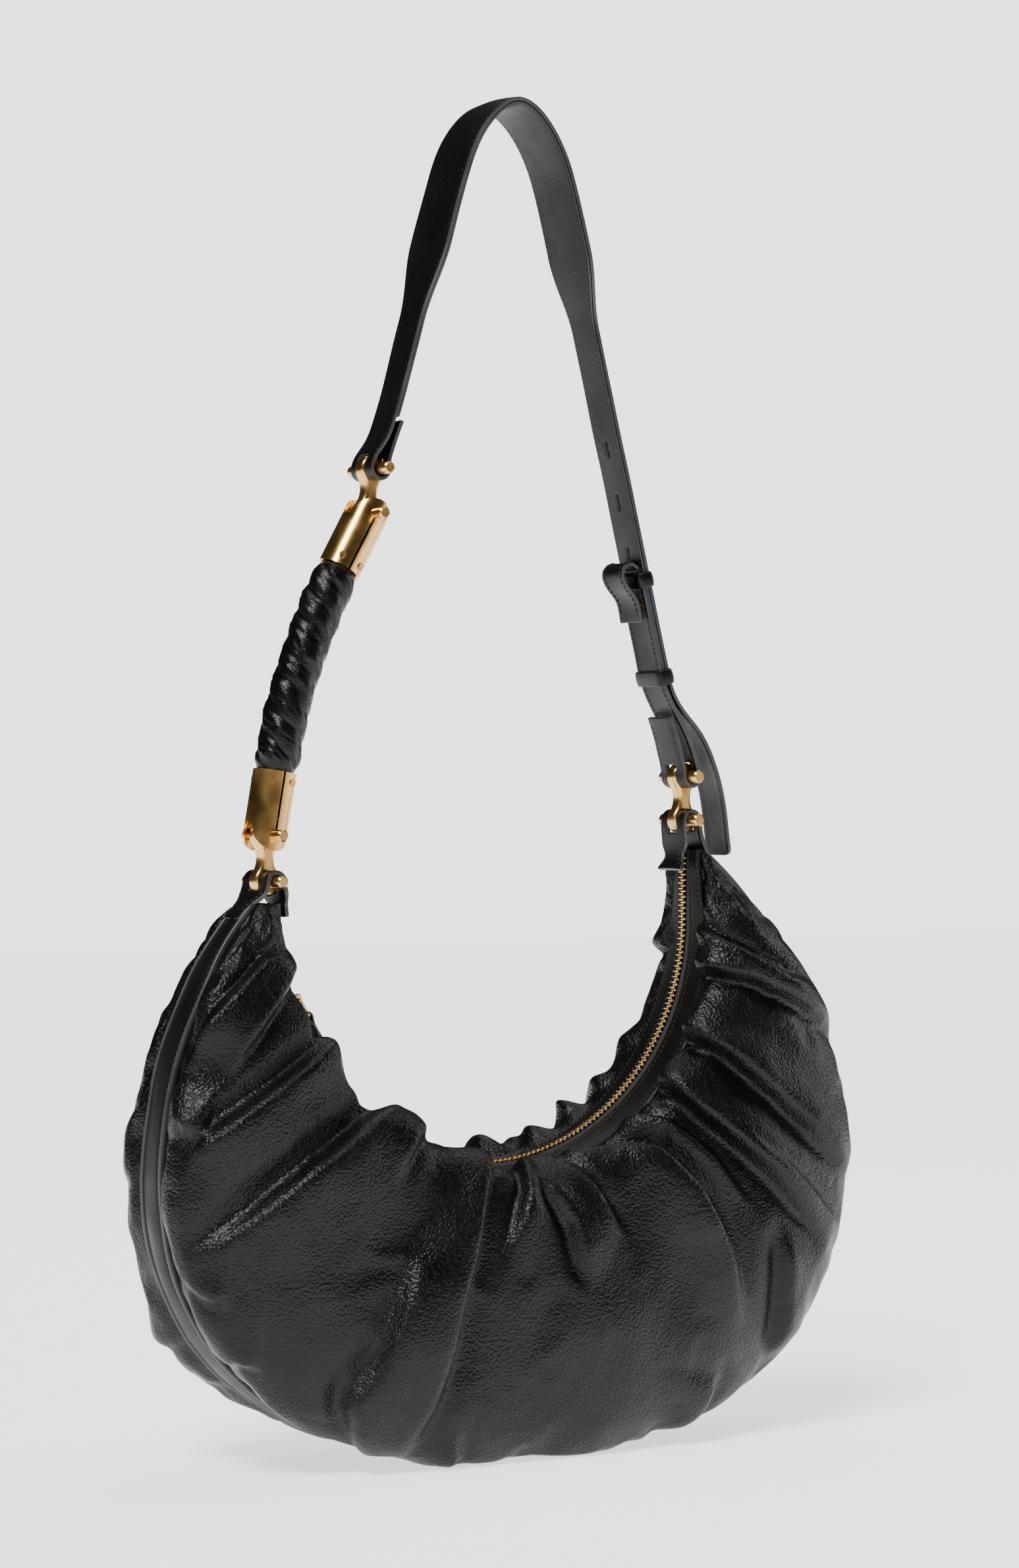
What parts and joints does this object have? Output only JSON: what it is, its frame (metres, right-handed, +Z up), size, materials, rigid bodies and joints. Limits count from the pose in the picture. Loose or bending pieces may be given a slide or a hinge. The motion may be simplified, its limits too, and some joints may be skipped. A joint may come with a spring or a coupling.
{
  "type": "hobo bag",
  "caption": "Crescent leather hobo bag with gathered sides, a closed curved zip and a shoulder strap hung on metal links, ferrules and a twisted leather grip.",
  "frame": {"origin": "centre of the bounding box at the level the bag stands on", "axes": "+X along the bag towards the end where the strap is adjusted, -Y the front, +Z up through the strap"},
  "size_m": [0.42, 0.12, 0.73],
  "materials": {
    "grained_leather": "soft pebbled grain, semi-matte",
    "smooth_leather": "smooth, semi-matte, stitched",
    "strap_leather": "fine grain, painted edges, stitched",
    "twisted_leather": "grained, twisted, soft gloss",
    "brass": "polished with light wear",
    "zip_metal": "polished",
    "zip_tape": "woven tape",
    "lining": "woven cotton",
    "rope": "cotton rope"
  },
  "bodies": {
    "bag": {"spine_band": "smooth_leather", "front_piping": "smooth_leather", "back_piping": "smooth_leather", "front_panel": "grained_leather", "back_panel": "grained_leather", "front_placket": "smooth_leather", "back_placket": "smooth_leather", "lining_front": "lining", "lining_back": "lining", "inner_pocket": "lining", "zip_tape_front": "zip_tape", "zip_tape_back": "zip_tape", "zip_teeth_front": "zip_metal", "zip_teeth_back": "zip_metal", "zip_stops": "zip_metal", "left_end_loop": "smooth_leather", "right_end_loop": "smooth_leather", "left_end_flap": "smooth_leather", "right_end_flap": "smooth_leather", "left_base_pin": "brass", "right_base_pin": "brass"},
    "lower_link": {"lower_left_link": "brass"},
    "handle": {"lower_ferrule_outer": "brass", "lower_ferrule_inner": "brass", "lower_ferrule_screws": "brass", "lower_ferrule_pin": "brass", "handle_core": "rope", "handle_wrap": "twisted_leather", "upper_ferrule_outer": "brass", "upper_ferrule_inner": "brass", "upper_ferrule_screws": "brass", "upper_ferrule_pin": "brass"},
    "upper_link": {"upper_left_link": "brass"},
    "strap": {"left_strap_pin": "brass", "shoulder_strap": "strap_leather", "strap_lining": "strap_leather", "short_strap": "strap_leather", "adjuster_tab": "strap_leather", "adjuster_stud": "brass", "upper_keeper": "strap_leather", "right_strap_pin": "brass"},
    "right_link_body": {"right_link": "brass"},
    "keeper": {"lower_keeper": "strap_leather"},
    "slider": {"zip_slider": "zip_metal"},
    "pull": {"zip_pull_bail": "zip_metal", "zip_pull_tab": "smooth_leather"}
  },
  "joints": [
    {"name": "lower_link_swing", "type": "hinge", "parent": "bag", "child": "lower_link", "pos_m": [-0.144, 0, 0.309], "axis": [0, 1, 0], "range_deg": [-7, 7]},
    {"name": "handle_swing", "type": "hinge", "parent": "lower_link", "child": "handle", "pos_m": [-0.144, 0, 0.333], "axis": [0, 1, 0], "range_deg": [-10.17, 10.17]},
    {"name": "upper_link_swing", "type": "hinge", "parent": "handle", "child": "upper_link", "pos_m": [-0.083, 0, 0.503], "axis": [0, 1, 0], "range_deg": [-10.17, 10.17]},
    {"name": "strap_swing", "type": "hinge", "parent": "upper_link", "child": "strap", "pos_m": [-0.08, 0, 0.527], "axis": [0, 1, 0], "range_deg": [-6.4, 6.4]},
    {"name": "right_link_swing", "type": "hinge", "parent": "strap", "child": "right_link_body", "pos_m": [0.12, 0, 0.364], "axis": [0, 1, 0], "range_deg": [-13.5, 13.5]},
    {"name": "keeper_slide", "type": "slide", "parent": "strap", "child": "keeper", "axis": [-0.2425, 0, 0.9701], "range_m": [0, 0.026]},
    {"name": "zip_run", "type": "hinge", "parent": "bag", "child": "slider", "pos_m": [-0.009, 0, 0.285], "axis": [0, -1, 0], "range_deg": [0, 150]},
    {"name": "pull_swing", "type": "hinge", "parent": "slider", "child": "pull", "pos_m": [-0.12432, 0, 0.24642], "axis": [0, -1, 0], "range_deg": [0, 140]}
  ],
  "couplings": [
    {"joint": "handle_swing", "follows": "lower_link_swing", "ratio": -1.4246},
    {"joint": "upper_link_swing", "follows": "lower_link_swing", "ratio": 1.4246},
    {"joint": "strap_swing", "follows": "lower_link_swing", "ratio": -0.88549},
    {"joint": "right_link_swing", "follows": "lower_link_swing", "ratio": -1.9}
  ]
}
